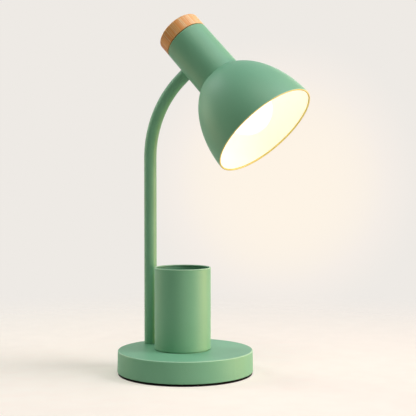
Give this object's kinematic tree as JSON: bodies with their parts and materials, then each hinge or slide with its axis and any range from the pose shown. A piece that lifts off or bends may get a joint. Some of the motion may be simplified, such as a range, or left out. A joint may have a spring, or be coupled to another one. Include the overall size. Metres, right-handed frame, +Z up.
{
  "type": "desk lamp",
  "caption": "Desk lamp with a pen cup on its round base, a bent stem, a tilting egg-shaped shade and a wooden end cap that turns as a dimmer knob.",
  "frame": {"origin": "centre of the round base's underside, on the table", "axes": "+Z up, +X the way the head points at rest, so that the stem's bend lies in a plane along X and Z"},
  "size_m": [0.2255, 0.16, 0.4234],
  "materials": {
    "green_paint": "matte sage green powder coat",
    "cup_paint": "matte sage green powder coat",
    "stem_paint": "matte sage green powder coat",
    "neck_paint": "matte sage green powder coat",
    "shade_paint": "matte sage green outside, warm white inside",
    "cast_weight": "bare casting",
    "zinc_plate": "zinc plated",
    "black_plate": "blackened",
    "steel_screws": "zinc plated",
    "turned_steel": "turned",
    "foot_rubber": "matte",
    "grommet_rubber": "matte",
    "block_plastic": "moulded",
    "bearing_plastic": "moulded",
    "ring_plastic": "moulded",
    "clamp_brass": "plain",
    "clamp_screws": "zinc plated",
    "bush_brass": "turned",
    "shell_brass": "pressed",
    "lead_sheath": "extruded",
    "holder_ceramic": "glazed",
    "bulb_opal": "opal",
    "bulb_white": "satin",
    "board_white": "matte",
    "cap_metal": "pressed",
    "beech": "oiled, fine grain along the axis"
  },
  "bodies": {
    "base": {"base_cover": "green_paint", "base_weight": "cast_weight", "base_plate": "zinc_plate", "base_screws": "steel_screws", "foot_pad": "foot_rubber", "cord_grommet": "grommet_rubber", "terminal_block": "block_plastic", "terminal_clamps": "clamp_brass", "terminal_screws": "clamp_screws", "base_lead": "lead_sheath", "stem_bush": "bush_brass", "pen_cup": "cup_paint", "cup_screws": "steel_screws"},
    "stem": {"stem_tube": "stem_paint", "stem_collar": "turned_steel", "stop_pin": "turned_steel", "stem_plug": "turned_steel", "thrust_washer": "bearing_plastic", "stem_nut": "steel_screws", "stem_lead": "lead_sheath", "knuckle": "turned_steel", "hinge_bolt": "steel_screws", "hinge_nut": "steel_screws", "friction_washers": "bearing_plastic", "spring_washers": "steel_screws"},
    "head": {"hinge_bracket": "zinc_plate", "pillars": "turned_steel", "neck_sleeve": "neck_paint", "shade": "shade_paint", "lampholder_body": "holder_ceramic", "shade_ring": "ring_plastic", "holder_screws": "steel_screws", "lampholder_shell": "shell_brass", "centre_contact": "shell_brass", "bulb_globe": "bulb_opal", "bulb_housing": "bulb_white", "light_board": "board_white", "bulb_cap": "cap_metal", "bulb_insulator": "ring_plastic", "bulb_tip": "clamp_brass", "end_plate": "black_plate", "plate_screws": "steel_screws", "dimmer": "block_plastic", "dimmer_nut": "steel_screws", "head_lead": "lead_sheath", "dimmer_lead": "lead_sheath"},
    "knob": {"wood_cap": "beech", "knob_insert": "bush_brass", "dimmer_shaft": "turned_steel"}
  },
  "joints": [
    {"name": "stem_swivel", "type": "hinge", "parent": "base", "child": "stem", "pos_m": [-0.05922, 0.01378, 0.028], "axis": [0, 0, 1], "range_deg": [-103, 77]},
    {"name": "head_tilt", "type": "hinge", "parent": "stem", "child": "head", "pos_m": [0.00185, 0.01378, 0.36136], "axis": [0, 1, 0], "range_deg": [-26, 34]},
    {"name": "knob_turn", "type": "hinge", "parent": "head", "child": "knob", "pos_m": [-0.01186, 0.01378, 0.39859], "axis": [-0.6947, 0, 0.7193], "range_deg": [0, 270]}
  ]
}
